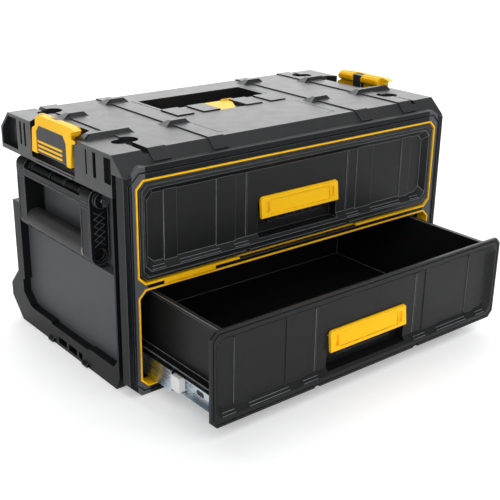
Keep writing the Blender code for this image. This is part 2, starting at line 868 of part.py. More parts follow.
def drawer_front(bay, out, lift, parent):
    """A pan-shaped front with a sloped frame, upright bands and a finger recess."""
    front = octagon(FRONT_HALF, FRONT_LOW + lift, FRONT_HIGH + lift, FRONT_CHAMFER)
    slab = prism(front, deep(out), deep(out + FRONT_RIM), "Y")
    pan = loft(
        octagon(0.2510, 0.0215 + lift, 0.1345 + lift, 0.0085),
        deep(out + FRONT_RIM - 0.001),
        octagon(0.2445, 0.0325 + lift, 0.1255 + lift, 0.0080),
        deep(out + FRONT_THICK),
        "Y",
    )
    step = 0.002
    field = loft(
        octagon(0.2515, 0.0235 + lift, 0.1325 + lift, 0.009),
        deep(out - step),
        octagon(0.2415, 0.0355 + lift, 0.1225 + lift, 0.008),
        deep(out + FACE_DEPTH),
        "Y",
    )
    outer, inner = [
        octagon(
            FRONT_HALF - inset,
            FRONT_LOW + inset + lift,
            FRONT_HIGH - inset + lift,
            FRONT_CHAMFER - 0.4 * inset,
        )
        for inset in (0.0030, 0.0046)
    ]
    groove = ring(outer, inner, deep(out - 0.01), deep(out + 0.0014))
    housing = box(
        (-RECESS_HALF - RECESS_WALL, deep(out + FRONT_RIM - 0.001), 0.0180 + lift),
        (
            RECESS_HALF + RECESS_WALL,
            deep(out + RECESS_BACK + RECESS_WALL),
            RECESS_HIGH + RECESS_WALL + lift,
        ),
    )
    recess = box(
        (-RECESS_HALF, deep(out - 0.01), RECESS_LOW + lift),
        (RECESS_HALF, deep(out + RECESS_BACK), RECESS_HIGH + lift),
    )
    bands = [
        box(
            (side * inner_x, deep(out + FACE_DEPTH - height), 0.0330 + lift),
            (side * outer_x, deep(out + FACE_DEPTH + 0.001), 0.1250 + lift),
        )
        for side in SIDES.values()
        for inner_x, outer_x, height in ((0.199, 0.218, 0.0012), (0.108, 0.139, 0.0009))
    ]
    feet = [
        box(
            (x - 0.004, deep(out - 0.01), FRONT_LOW + lift - 0.01),
            (x + 0.004, deep(out + 0.0025), FRONT_LOW + lift + 0.0035),
        )
        for x in (-0.091, 0.091)
    ]
    piece(
        f"{bay}_drawer_front",
        "drawer_black",
        slab,
        (
            ("UNION", [pan, housing]),
            ("DIFFERENCE", [field]),
            ("UNION", bands),
            ("DIFFERENCE", [recess, groove] + feet),
        ),
        parent,
    )


def drawer_tub(bay, out, lift, parent):
    """The open bin behind a front, with a turned-out rim, slide ledges and a recess cover."""
    near, far = deep(out + FRONT_THICK + GAP), deep(out + TUB_BACK)
    low, high = TUB_LOW + lift, TUB_HIGH + lift
    outer = box((-TUB_HALF, near, low), (TUB_HALF, far, high))
    rim = box((-TUB_HALF - 0.003, near, high - 0.004), (TUB_HALF + 0.003, far, high))
    ledge_z = SLIDE_MIDDLE + CABINET_HALF + 0.0022 + lift
    ledge = box((-0.2440, near + 0.004, ledge_z), (0.2440, far, ledge_z + 0.0022))
    inner = TUB_HALF - TUB_WALL
    hollow = box(
        (-inner, near + TUB_WALL, low + 0.003), (inner, far - TUB_WALL, high + 0.02)
    )
    room_half = RECESS_HALF + RECESS_WALL + 0.0004
    room_back = deep(out + RECESS_BACK + RECESS_WALL + 0.0004)
    room_top = RECESS_HIGH + RECESS_WALL + 0.0004 + lift
    cover = box(
        (-room_half - TUB_WALL, near, low),
        (room_half + TUB_WALL, room_back + TUB_WALL, room_top + TUB_WALL),
    )
    room = box((-room_half, near - 0.01, low - 0.01), (room_half, room_back, room_top))
    piece(
        f"{bay}_drawer_tub",
        "drawer_black",
        outer,
        (
            ("UNION", [rim, ledge]),
            ("DIFFERENCE", [hollow]),
            ("UNION", [cover]),
            ("DIFFERENCE", [room]),
        ),
        parent,
    )


def drawer_pull(bay, out, lift, parent):
    """The yellow pull plate, leaning out at the bottom, with a framed field and end notches."""
    outline = [
        (deep(out + 0.0005), 0.0570 + lift),
        (deep(out + 0.0035), 0.0838 + lift),
        (deep(out + 0.0050), 0.0855 + lift),
        (deep(out + 0.0072), 0.0855 + lift),
        (deep(out + 0.0072), 0.0780 + lift),
        (deep(out + 0.0050), 0.0575 + lift),
        (deep(out + 0.0030), 0.0560 + lift),
    ]
    plate = prism(outline, -PULL_HALF, PULL_HALF, "X")
    field = [
        (deep(out - 0.0100), 0.0615 + lift),
        (deep(out + 0.0021), 0.0615 + lift),
        (deep(out + 0.0040), 0.0795 + lift),
        (deep(out - 0.0100), 0.0795 + lift),
    ]
    corner = 0.004
    cuts = []
    for side in SIDES.values():
        cuts.append(
            box(
                (side * 0.0555, deep(out - 0.01), 0.0640 + lift),
                (side * 0.0605, deep(out + 0.0042), 0.0775 + lift),
            )
        )
        outer, inner = side * (PULL_HALF + 0.001), side * (PULL_HALF - corner)
        cuts.append(
            prism(
                [(outer, 0.0867 + lift), (inner, 0.0867 + lift), (outer, 0.0815 + lift)],
                deep(out - 0.01),
                deep(out + 0.02),
                "Y",
            )
        )
    piece(
        f"{bay}_pull",
        "trim_yellow",
        plate,
        (("DIFFERENCE", [prism(field, -0.0530, 0.0530, "X")] + cuts),),
        parent,
    )


def release(bay, out, lift, parent):
    """The squeeze lever behind a pull, on its own pin, with its return spring."""
    y, z = deep(out + RELEASE_DEPTH), RELEASE_Z + lift
    hinge = pivot(f"{bay}_release_axis", (0.0, y, z))
    lever = rod((y, z), 0.0036, -RELEASE_HALF, RELEASE_HALF, "X")
    plate = box(
        (-RELEASE_HALF, y - 0.0015, z - 0.0290), (RELEASE_HALF, y + 0.0015, z - 0.0020)
    )
    lip = box(
        (-RELEASE_HALF, y - 0.0040, z - 0.0305), (RELEASE_HALF, y + 0.0015, z - 0.0280)
    )
    ribs = [
        box((x - 0.0009, y - 0.0030, z - 0.0285), (x + 0.0009, y, z - 0.0030))
        for x in (-0.030, -0.015, 0.0, 0.015, 0.030)
    ]
    bore = rod((y, z), RELEASE_PIN_RADIUS + BORE_PLAY, -0.06, 0.06, "X", 16)
    piece(
        f"{bay}_release_lever",
        "handle_black",
        lever,
        (("UNION", [plate, lip] + ribs), ("DIFFERENCE", [bore])),
        hinge,
    )
    reach = RECESS_HALF - 2 * GAP
    piece(
        f"{bay}_release_pin",
        "zinc_steel",
        rod((y, z), RELEASE_PIN_RADIUS, -reach, reach, "X", 16),
        parent=parent,
    )
    coil(
        f"{bay}_release_spring",
        ("X", y, z),
        0.0027,
        0.0006,
        (RELEASE_HALF + 0.004, RELEASE_HALF + 0.012),
        6,
        parent,
    )


def drawers():
    for bay, lift in BAYS.items():
        out = -DRAWER_OPEN if bay == "lower" else 0.0
        parent = pivot(f"{bay}_drawer_axis", (0.0, deep(out), SLIDE_MIDDLE + lift))
        drawer_front(bay, out, lift, parent)
        drawer_tub(bay, out, lift, parent)
        drawer_pull(bay, out, lift, parent)
        release(bay, out, lift, parent)
        slides(bay, out, lift, parent)


def channel(side, lift, half, web, lip, ends, slip):
    """A folded sheet channel along Y: a web, and a flange at its top and bottom out to the lip."""
    wall = side * (INNER_X - GAP)
    thick = math.copysign(SHEET, lip - web)
    middle = SLIDE_MIDDLE + lift
    outline = [
        (wall - side * web, middle - half),
        (wall - side * lip, middle - half),
        (wall - side * lip, middle - half + SHEET),
        (wall - side * (web + thick), middle - half + SHEET),
        (wall - side * (web + thick), middle + half - SHEET),
        (wall - side * lip, middle + half - SHEET),
        (wall - side * lip, middle + half),
        (wall - side * web, middle + half),
    ]
    return prism(outline, deep(ends[0] + slip), deep(ends[1] + slip), "Y")


def slides(bay, out, lift, drawer):
    """Three nested members and a white end stop on each side of a drawer."""
    half_out = out / 2
    rail = pivot(
        f"{bay}_rail_axis", (0.0, deep(MIDDLE_ENDS[0] + half_out), SLIDE_MIDDLE + lift)
    )
    for name, side in SIDES.items():
        label = f"{bay}_{name}"
        piece(
            f"{label}_cabinet_slide",
            "zinc_steel",
            channel(side, lift, CABINET_HALF, 0.0, CABINET_LIP, CABINET_ENDS, 0.0),
        )
        piece(
            f"{label}_middle_slide",
            "zinc_steel",
            channel(side, lift, MIDDLE_HALF, MIDDLE_WEB, MIDDLE_LIP, MIDDLE_ENDS, half_out),
            parent=rail,
        )
        inner = channel(side, lift, INNER_HALF, INNER_WEB, INNER_LIP, INNER_ENDS, out)
        holes = [
            rod(
                (deep(place + out), SLIDE_MIDDLE + lift),
                0.0028,
                side * 0.225,
                side * 0.250,
                "X",
                12,
            )
            for place in (0.055, 0.095)
        ]
        steps = (("DIFFERENCE", holes),)
        piece(f"{label}_drawer_slide", "zinc_steel", inner, steps, drawer)
        rail_stop(label, side, lift, half_out, rail)


def rail_stop(label, side, lift, slip, rail):
    """The white plastic end stop clipped over the front of a middle slide."""
    wall = side * (INNER_X - GAP)
    end = MIDDLE_ENDS[0] + slip - GAP
    middle = SLIDE_MIDDLE + lift
    cap = box(
        (wall - side * MIDDLE_WEB, deep(end - STOP_LENGTH), middle - 0.0098),
        (wall - side * 0.0118, deep(end), middle + 0.0098),
    )
    inside = MIDDLE_WEB + SHEET + GAP
    clip = box(
        (wall - side * inside, deep(end - 0.001), middle - 0.0080),
        (wall - side * (inside + 0.0012), deep(end + 0.0150), middle + 0.0080),
    )
    piece(f"{label}_rail_stop", "stop_white", cap, (("UNION", [clip]),), rail)


# Side latches and handles


def side_latch(name, side):
    """A sprung latch in its pocket: yellow body, label plate, pin and return spring."""
    hinge = pivot(
        f"{name}_latch_axis", (side * LATCH_X, deep(LATCH_NEAR), LATCH_Z)
    )
    near, far = LATCH_NEAR, LATCH_FAR
    body = prism(
        [
            (deep(near), LATCH_LOW),
            (deep(near), 0.3125),
            (deep(0.1150), 0.3125),
            (deep(0.1150), 0.3160),
            (deep(0.1045), 0.3200),
            (deep(0.1160), LATCH_HIGH),
            (deep(0.1950), LATCH_HIGH),
            (deep(0.2035), 0.3210),
            (deep(0.2080), 0.3170),
            (deep(0.2092), 0.3076),
            (deep(0.2167), 0.3041),
            (deep(0.2184), 0.3015),
            (deep(0.2222), LATCH_LOW),
        ],
        side * LATCH_BACK,
        side * LATCH_FACE,
        "X",
    )
    flange = prism(
        [
            (deep(near + 0.001), LATCH_LOW),
            (deep(0.1190), LATCH_LOW),
            (deep(0.1140), 0.3030),
            (deep(0.1090), 0.3033),
            (deep(0.1048), 0.3065),
            (deep(0.1090), 0.3083),
            (deep(0.1150), 0.3090),
            (deep(0.1152), 0.3135),
            (deep(near + 0.001), 0.3135),
        ],
        side * 0.2774,
        side * LATCH_FACE,
        "X",
    )
    boss = rod((side * LATCH_X, LATCH_Z), 0.0062, deep(near + 0.003), deep(far), "Y", 24)
    hook_profile = [
        (side * 0.2720, 0.3060),
        (side * 0.2610, 0.3115),
        (side * 0.2600, 0.3165),
        (side * 0.2650, 0.3215),
        (side * 0.2720, LATCH_HIGH),
    ]
    hooks = [
        prism(hook_profile, deep(start), deep(end), "Y")
        for start, end in ((0.1220, 0.1585), (0.1770, 0.2080))
    ]
    notch = box((side * 0.2500, deep(0.1585), 0.2950), (side * 0.2735, deep(0.1770), 0.3300))
    label_outline = [
        (deep(0.1290), 0.2725),
        (deep(0.1290), 0.3000),
        (deep(0.1360), 0.3090),
        (deep(0.1990), 0.3090),
        (deep(0.2070), 0.3000),
        (deep(0.2070), 0.2725),
    ]
    seat_outline = [
        (deep(0.1285), 0.2600),
        (deep(0.1285), 0.3003),
        (deep(0.1357), 0.3095),
        (deep(0.1993), 0.3095),
        (deep(0.2075), 0.3003),
        (deep(0.2075), 0.2600),
    ]
    seat = prism(seat_outline, side * 0.2757, side * 0.300, "X")
    bore = rod(
        (side * LATCH_X, LATCH_Z), LATCH_PIN_RADIUS + BORE_PLAY, deep(0.10), deep(0.25), "Y", 16
    )
    spring_room = box(
        (side * 0.2600, deep(0.164), LATCH_LOW - 0.002),
        (side * 0.2757, deep(0.180), LATCH_Z + 0.0085),
    )
    piece(
        f"{name}_latch",
        "trim_yellow",
        body,
        (("UNION", [flange, boss] + hooks), ("DIFFERENCE", [seat, bore, spring_room, notch])),
        hinge,
    )
    label = prism(label_outline, side * 0.2760, side * 0.2786, "X")
    piece(f"{name}_latch_label", "label_grey", label, parent=hinge)
    piece(
        f"{name}_latch_pin",
        "zinc_steel",
        rod((side * LATCH_X, LATCH_Z), LATCH_PIN_RADIUS, deep(0.1100), deep(0.2400), "Y", 16),
    )
    coil(
        f"{name}_latch_spring",
        ("Y", side * LATCH_X, LATCH_Z),
        0.0036,
        0.0008,
        (deep(0.167), deep(0.177)),
        6,
        None,
    )


def side_handle(name, side):
    """A fold-down bail: two arms and a cross bar, a soft grip, and the long hinge pin."""
    hinge = pivot(f"{name}_handle_axis", (side * PIVOT_X, deep(ARMS[0][0]), PIVOT_Z))
    centre = (side * PIVOT_X, PIVOT_Z)
    outline = capsule(centre, (side * PIVOT_X, ARM_FOOT_Z), ARM_RADIUS)
    first, second = [prism(outline, deep(near), deep(far), "Y") for near, far in ARMS]
    bar_near, bar_far = ARMS[0][1] - 0.001, ARMS[1][0] + 0.001
    bar = box(
        (side * 0.2738, deep(bar_near), 0.2300), (side * 0.2785, deep(bar_far), 0.2400)
    )
    knuckle = rod(centre, 0.0080, deep(0.1545), deep(0.1855), "Y", 24)
    web = box((side * 0.2630, deep(0.1545), 0.2310), (side * 0.2750, deep(0.1855), 0.2392))
    bore = rod(centre, PIN_RADIUS + BORE_PLAY, deep(0.06), deep(0.29), "Y")
    hollow_depth = 0.006
    hollows = [
        rod((side * PIVOT_X, ARM_FOOT_Z), 0.0088, deep(low), deep(high), "Y", 24)
        for low, high in (
            (ARMS[0][0] - 0.01, ARMS[0][0] + hollow_depth),
            (ARMS[1][1] - hollow_depth, ARMS[1][1] + 0.01),
        )
    ]
    piece(
        f"{name}_handle_frame",
        "handle_black",
        first,
        (("UNION", [second, bar, knuckle, web]), ("DIFFERENCE", [bore] + hollows)),
        hinge,
        35,
    )
    piece(
        f"{name}_handle_grip",
        "grip_rubber",
        rod(
            (side * PIVOT_X, GRIP_Z),
            GRIP_RADIUS,
            deep(ARMS[0][1] + GAP),
            deep(ARMS[1][0] - GAP),
            "Y",
            32,
        ),
        parent=hinge,
        round_angle=35,
    )
    piece(
        f"{name}_handle_pin",
        "zinc_steel",
        rod(centre, PIN_RADIUS, deep(0.0665), deep(0.2850), "Y"),
        round_angle=35,
    )


def main():
    clear_scene()
    case_shell()
    divider_shelf()
    front_bezel()
    trim_rings()
    top_deck()
    lock_slider()
    drawers()
    for name, side in SIDES.items():
        side_latch(name, side)
        side_handle(name, side)


main()
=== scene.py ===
"""Looks for the drawer tool box: rounded mouldings with rubbed edges that carry a painted
highlight (a painted shade on yellow), grained plastics, folded zinc slides, and the small ribs,
collars and inlays that sit on the mouldings."""

import json
import math

import bmesh
import bpy
from mathutils import Matrix, Vector


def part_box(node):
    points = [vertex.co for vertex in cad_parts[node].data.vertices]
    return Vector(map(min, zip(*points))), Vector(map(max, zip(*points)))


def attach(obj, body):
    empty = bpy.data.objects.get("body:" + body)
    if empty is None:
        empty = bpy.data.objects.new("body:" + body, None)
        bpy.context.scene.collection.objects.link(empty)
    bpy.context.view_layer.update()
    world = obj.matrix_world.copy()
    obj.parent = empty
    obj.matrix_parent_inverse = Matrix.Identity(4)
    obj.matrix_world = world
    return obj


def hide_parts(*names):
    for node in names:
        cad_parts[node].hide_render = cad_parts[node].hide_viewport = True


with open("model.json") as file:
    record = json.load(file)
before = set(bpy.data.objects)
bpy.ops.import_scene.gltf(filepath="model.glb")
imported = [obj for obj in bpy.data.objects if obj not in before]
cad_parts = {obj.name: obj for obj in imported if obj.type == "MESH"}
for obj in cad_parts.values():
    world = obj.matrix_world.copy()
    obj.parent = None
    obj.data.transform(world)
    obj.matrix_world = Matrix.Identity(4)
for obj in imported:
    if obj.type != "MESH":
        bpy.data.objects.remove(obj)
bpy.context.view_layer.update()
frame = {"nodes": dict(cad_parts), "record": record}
NODES = frame["nodes"]
SIDES = {"left": -1, "right": 1}
BAYS = ("lower", "upper")

# Camera, in the row frame
CAMERA_PLACE = Vector((-0.8067, -1.0402, 0.5982))
CAMERA_RIGHT = Vector((0.77784, -0.62829, 0.01476))
CAMERA_FORWARD = Vector((0.58967, 0.72149, -0.36297))
LENS_MM = 67.2
SENSOR_MM = 36.0
CLIP_START = 0.01

# Rounded edges, by material slot
EDGE_WIDTH = {
    "case_plastic": 0.0007,
    "deck_plastic": 0.0008,
    "drawer_plastic": 0.0007,
    "handle_plastic": 0.0007,
    "grip_rubber": 0.0006,
    "yellow_plastic": 0.0006,
    "label_plastic": 0.0003,
    "white_plastic": 0.0004,
    "zinc_steel": 0.0002,
}

# The side panels lie this far from the middle plane; they are duller than the rails, and their
# tone is painted lighter, a painted reflection of the light they catch
RECESS_X = (0.2470, 0.2655)
RECESS_PAINTED_LIGHT = (0.078, 0.083, 0.091)
RECESS_DULLER = 0.12

# Edge widths for the pieces made here, then settings shared by every dressed object
THIN_EDGE, FINE_EDGE = 0.0003, 0.0002
BAND_EDGE, STEP_EDGE = 0.0004, 0.0005
WELD_DISTANCE = 0.000005
FLAT_ANGLE, EDGE_ANGLE = 1.0, 28.0
SHADING_WEIGHT = 80

# Plastics that are nearly black: dark tone, light tone, roughness and specular level
BLACKS = {
    "case_plastic": ((0.0050, 0.0054, 0.0060), (0.0078, 0.0084, 0.0092), 0.38, 0.12),
    # The deck's tones are lighter than the case's: a painted reflection of the light on the box's
    # top
    "deck_plastic": ((0.0090, 0.0094, 0.0104), (0.0130, 0.0136, 0.0148), 0.36, 0.44),
    "drawer_plastic": ((0.0066, 0.0070, 0.0074), (0.0100, 0.0104, 0.0108), 0.42, 0.22),
    "handle_plastic": ((0.0046, 0.0050, 0.0054), (0.0074, 0.0078, 0.0084), 0.38, 0.14),
    "grip_rubber": ((0.0210, 0.0210, 0.0215), (0.0290, 0.0290, 0.0300), 0.56, 0.40),
    "label_plastic": ((0.0230, 0.0240, 0.0290), (0.0280, 0.0290, 0.0340), 0.45, 0.30),
}
# Rounded edges: the blacks' dark tone times this gain is a painted highlight along them; then the
# edges' roughness and specular level
EDGE_HIGHLIGHT_GAIN, EDGE_ROUGHNESS, EDGE_GLOSS = 17.0, 0.34, 0.6
YELLOWS = ((0.92, 0.50, 0.004), (0.98, 0.56, 0.008))
# Yellow edges are painted darker than the faces, a painted shade along them
YELLOW_EDGE_SHADE = (0.54, 0.27, 0.002)
WHITES = ((0.78, 0.79, 0.76), (0.88, 0.88, 0.86))
# White edges: a little lighter than the faces, a painted highlight
WHITE_EDGE_HIGHLIGHT = (0.86, 0.86, 0.84)
ZINCS = ((0.34, 0.46, 0.56), (0.70, 0.75, 0.78))
# Zinc edges: lighter and greyer than the faces, a painted highlight
ZINC_EDGE_HIGHLIGHTS = ((0.80, 0.80, 0.76), (0.90, 0.90, 0.88))

# Texture scales, in cycles per metre, and the amounts that they change
PLASTIC_IOR = 1.49
MOTTLE_SCALE, GLOSS_SCALE, SCUFF_SCALE = 7.0, 45.0, 160.0
SCUFF_STRETCH = (1.0, 1.0, 0.06)
SCUFF_FROM, SCUFF_TO, SCUFF_GLOSS = 0.62, 0.80, 0.10
CELLS_PER_GRAIN = 1.4
RUB_SCALE, RUB_GLOSS_SCALE, RUB_GRAIN, RUB_LIGHTER = 120.0, 300.0, 700.0, 1.8
SPANGLE_SCALE, ROLLING_SCALE = 70.0, 900.0
ROLLING_STRETCH = (1.0, 0.03, 1.0)
SHALLOW = 0.00005

# Sizes below are in metres. A reach is a distance from the middle plane of the box. A depth is
# measured back from the front of the part that carries the piece, or, for pieces on the case,
# from the front bezel. A rise is a height over the part's foot; other heights are over the floor.

# Steps and bands on the drawer fronts: (depth, rise) points, then reaches
STEP_PROFILE = (
    (0.0006, 0.0092),
    (0.0006, 0.0118),
    (0.0034, 0.0118),
    (0.0034, 0.0148),
    (0.0066, 0.0148),
    (0.0066, 0.0172),
    (0.0082, 0.0172),
    (0.0082, 0.0092),
)
STEP_REACHES = ((0.0885, 0.1120), (0.1355, 0.1975), (0.2195, 0.2385))
BAND_REACHES = ((0.0885, 0.0915), (0.1125, 0.1365), (0.1985, 0.2185))
BAND_NEAR, BAND_FAR = 0.0069, 0.0080
BAND_LOW, BAND_HIGH = 0.0201, 0.1051

# Side latches: stripes on the inlay, ribs on the hooks, the dark core between the hooks. Each run
# of ribs has the depth where it starts and the number of ribs.
STRIPE_REACH = (0.2780, 0.2791)
STRIPE_NEAR, STRIPE_FAR = 0.0345, 0.0995
STRIPE_HEIGHTS = (0.2882, 0.2825, 0.2768)
STRIPE_HALF = 0.00155
HOOK_RIB_STARTS = ((0.0200, 10), (0.0745, 8))
HOOK_RIB_PITCH, HOOK_RIB_WIDTH = 0.0034, 0.0016
HOOK_RIB_REACH = (0.2593, 0.2680)
HOOK_RIB_LOW, HOOK_RIB_HIGH = 0.3128, 0.3192
CORE_REACH = (0.2630, 0.2737)
CORE_NEAR, CORE_FAR = 0.0545, 0.0720
CORE_LOW, CORE_BELOW_TOP = 0.2965, 0.0015

# Collars on the hinge barrels: depths of both ends, and the radius
COLLARS = (
    (0.0692, 0.0712, 0.0103),
    (0.0752, 0.0772, 0.0103),
    (0.1060, 0.1085, 0.0088),
    (0.1130, 0.1142, 0.0084),
    (0.1492, 0.1514, 0.0088),
    (0.1888, 0.1910, 0.0088),
    (0.2400, 0.2412, 0.0084),
    (0.2466, 0.2492, 0.0088),
    (0.2762, 0.2780, 0.0103),
)
COLLAR_BORE = 0.0070

# Side handles: rims and crossed ribs on the arms' ends, ridges on the arms, a bead on the bar
ARM_RADIUS, ARM_WIDTH = 0.0137, 0.022
RIM_OUTER, RIM_INNER = 0.0135, 0.0118
RIM_PROUD, RIM_SUNK = 0.0009, 0.0006
CROSS_COUNT, CROSS_START, CROSS_PITCH = 5, 0.0125, 0.0090
CROSS_LEAN, CROSS_HALF, CROSS_STEP = 0.0075, 0.0006, 0.0002
RIDGE_HEIGHTS = (0.2280, 0.2320, 0.2360)
RIDGE_HALF, RIDGE_INSET = 0.0009, 0.0015
RIDGE_PROUD, RIDGE_SUNK = 0.0006, 0.0010
EDGE_LINES, EDGE_LINE_WIDTH = (0.0008, 0.0022), 0.0014
EDGE_LINE_PROUD, EDGE_LINE_TOP = 0.0007, 0.2250
BEAD_REACH = (0.2775, 0.2792)
BEAD_INSET = 0.0235
BEAD_LOW, BEAD_HIGH = 0.2318, 0.2330

# Grip: rings of points along it, finger swells on its underside
GRIP_STATIONS, GRIP_AROUND = 120, 48
GRIP_SWELLS, GRIP_SWELL = 5, 0.0009
GRIP_COVER = 0.0001
GRIP_ENDS = 12

# Bottom rails, the deck's skirt and the grip patch
LUG_PROFILE = ((0.2760, 0.0006), (0.2802, 0.0006), (0.2810, 0.0030), (0.2760, 0.0090))
LUG_DEPTHS = ((0.1040, 0.1170), (0.1980, 0.2110))
LEDGE_FOOT = 0.2760
# Each ledge: its outer reach, its two depths, its base and its top
LEDGES = (
    (0.2784, 0.1180, 0.2140, 0.2566, 0.2590),
    (0.2778, 0.1215, 0.2105, 0.2610, 0.2622),
)
PATCH_RIBS, PATCH_START = 20, -0.2205
PATCH_PITCH, PATCH_RIB = 0.0038, 0.0019
PATCH_PROUD = 0.0005
PATCH_LOW, PATCH_HIGH = 0.0008, 0.0044

# Slides: a dark block in the eye as painted shade, a round hole and a pressed bead on a drawer
# member's web
WEB_REACH, WEB_SUNK = 0.2346, 0.0004
EYE_DEPTH, EYE_LENGTH, EYE_HEIGHT = 0.0395, 0.0078, 0.0036
EYE_RIM = 0.0014
HOLE_DEPTH, HOLE_RADIUS, HOLE_RIM = 0.0844, 0.0029, 0.0045
PRESS_LOW, PRESS_HIGH = 0.0084, 0.0066
PRESS_NEAR, PRESS_FAR = 0.0080, 0.0060
EYE_SHADE_PROUD, EYE_RIM_PROUD, HOLE_RIM_PROUD, PRESS_PROUD = 0.0006, 0.0005, 0.0006, 0.0007

# Studio: each sun's azimuth and elevation in degrees, its strength, and its spread in degrees
SUNS = {
    "back_light": (35.0, 36.0, 3.0, 80.0),
    "left_light": (-100.0, 38.0, 0.25, 60.0),
    "front_light": (-165.0, 45.0, 1.8, 90.0),
}
WORLD_COLOUR, WORLD_STRENGTH = (0.96, 0.98, 1.0, 1.0), 0.25
FLOOR_TONE, FLOOR_GLOW = 0.80, 0.32
FLOOR_REACH, FLOOR_DROP = 40.0, 0.0005
SUN_DISTANCE = 3.0

materials = {}


# Materials


class Graph:
    """A material's node tree, with short calls for the nodes used here."""

    def __init__(self, name, colour, roughness, metallic=0.0):
        self.material = bpy.data.materials.new(name)
        self.material.use_nodes = True
        self.material.diffuse_color = (*colour, 1.0)
        self.tree = self.material.node_tree
        self.shader = self.tree.nodes["Principled BSDF"]
        self.set("Base Color", (*colour, 1.0))
        self.set("Roughness", roughness)
        self.set("Metallic", metallic)
        self.place = self.add("ShaderNodeTexCoord").outputs["Object"]

    def set(self, socket, value):
        self.shader.inputs[socket].default_value = value

    def add(self, kind):
        return self.tree.nodes.new(kind)

    def wire(self, source, target):
        self.tree.links.new(source, target)

    def to_shader(self, source, socket):
        self.wire(source, self.shader.inputs[socket])

    def noise(self, scale, detail=2.0, stretch=None):
        node = self.add("ShaderNodeTexNoise")
        node.inputs["Scale"].default_value = scale
        node.inputs["Detail"].default_value = detail
        source = self.place
        if stretch:
            mapping = self.add("ShaderNodeMapping")
            mapping.inputs["Scale"].default_value = stretch
            self.wire(self.place, mapping.inputs["Vector"])
            source = mapping.outputs["Vector"]
        self.wire(source, node.inputs["Vector"])
        return node.outputs["Fac"]

    def cells(self, scale):
        node = self.add("ShaderNodeTexVoronoi")
        node.inputs["Scale"].default_value = scale
        self.wire(self.place, node.inputs["Vector"])
        return node.outputs["Distance"]

    def spread(self, source, low, high, from_low=0.3, from_high=0.7):
        node = self.add("ShaderNodeMapRange")
        for socket, value in (
            ("From Min", from_low),
            ("From Max", from_high),
            ("To Min", low),
            ("To Max", high),
        ):
            node.inputs[socket].default_value = value
        self.wire(source, node.inputs["Value"])
        return node.outputs["Result"]

    def blend(self, factor, first, second):
        node = self.add("ShaderNodeMix")
        node.data_type = "RGBA"
        for socket, value in (("A", first), ("B", second)):
            target = [i for i in node.inputs if i.name == socket and i.type == "RGBA"][0]
            if isinstance(value, tuple):
                target.default_value = (*value, 1.0)
            else:
                self.wire(value, target)
        self.wire(factor, node.inputs["Factor"])
        return [o for o in node.outputs if o.type == "RGBA"][0]

    def maths(self, operation, first, second):
        node = self.add("ShaderNodeMath")
        node.operation = operation
        for socket, value in zip(node.inputs, (first, second)):
            if isinstance(value, float):
                socket.default_value = value
            else:
                self.wire(value, socket)
        return node.outputs["Value"]

    def within(self, low, high):
        """1 where the distance from the box's middle plane lies between two values."""
        split = self.add("ShaderNodeSeparateXYZ")
        self.wire(self.place, split.inputs["Vector"])
        aside = self.maths("ABSOLUTE", split.outputs["X"], 0.0)
        return self.maths(
            "MULTIPLY",
            self.maths("GREATER_THAN", aside, low),
            self.maths("LESS_THAN", aside, high),
        )

    def bump(self, source, strength, distance, under=None):
        node = self.add("ShaderNodeBump")
        node.inputs["Strength"].default_value = strength
        node.inputs["Distance"].default_value = distance
        self.wire(source, node.inputs["Height"])
        if under is not None:
            self.wire(under, node.inputs["Normal"])
        return node.outputs["Normal"]


def moulded(name, dark, light, roughness, gloss=0.3, grain=900.0, depth=0.00010, recess=None):
    """Moulded plastic: mottled tone, uneven gloss, scuffs and a fine spark-eroded grain."""
    graph = Graph(name, dark, roughness)
    graph.set("IOR", PLASTIC_IOR)
    graph.set("Specular IOR Level", gloss)
    tone = graph.blend(graph.spread(graph.noise(MOTTLE_SCALE, 6.0), 0.0, 1.0), dark, light)
    rough = graph.spread(graph.noise(GLOSS_SCALE, 5.0), roughness - 0.02, roughness + 0.03)
    # Painted light: the side panels' lighter tone stands in for the light they reflect; their
    # extra roughness is real
    if recess:
        inside = graph.within(*RECESS_X)
        tone = graph.blend(inside, tone, recess)
        rough = graph.maths("ADD", rough, graph.maths("MULTIPLY", inside, RECESS_DULLER))
    streaks = graph.noise(SCUFF_SCALE, 3.0, SCUFF_STRETCH)
    scuffs = graph.spread(streaks, 0.0, SCUFF_GLOSS, SCUFF_FROM, SCUFF_TO)
    graph.to_shader(tone, "Base Color")
    graph.to_shader(graph.maths("SUBTRACT", rough, scuffs), "Roughness")
    fine = graph.bump(graph.noise(grain, 3.0), 0.30, depth)
    cells = graph.cells(grain * CELLS_PER_GRAIN)
    graph.to_shader(graph.bump(cells, 0.15, depth, fine), "Normal")
    return graph.material


def edge_highlight_shade_and_wear(name, colour, roughness, gloss):
    """Rounded edges' finish: the given colour paints a highlight along them (a painted shade on
    yellow), with lighter rubbed patches of wear and a shinier skin.
    """
    graph = Graph(name, colour, roughness)
    graph.set("IOR", PLASTIC_IOR)
    graph.set("Specular IOR Level", gloss)
    rubbed = tuple(min(1.0, channel * RUB_LIGHTER) for channel in colour)
    patches = graph.spread(graph.noise(RUB_SCALE, 5.0), 0.0, 1.0)
    graph.to_shader(graph.blend(patches, colour, rubbed), "Base Color")
    rough = graph.spread(graph.noise(RUB_GLOSS_SCALE, 3.0), roughness - 0.06, roughness + 0.10)
    graph.to_shader(rough, "Roughness")
    graph.to_shader(graph.bump(graph.noise(RUB_GRAIN, 3.0), 0.2, SHALLOW), "Normal")
    return graph.material


def zinc(name, dark, light, roughness):
    """Blue-passivated zinc on rolled sheet: cloudy tone and fine lines along the rolling."""
    graph = Graph(name, dark, roughness, 1.0)
    spangle = graph.noise(SPANGLE_SCALE, 4.0)
    graph.to_shader(graph.blend(graph.spread(spangle, 0.0, 1.0), dark, light), "Base Color")
    drawn = graph.noise(ROLLING_SCALE, 3.0, ROLLING_STRETCH)
    graph.to_shader(graph.spread(drawn, roughness - 0.08, roughness + 0.12), "Roughness")
    graph.to_shader(graph.bump(drawn, 0.25, SHALLOW), "Normal")
    return graph.material


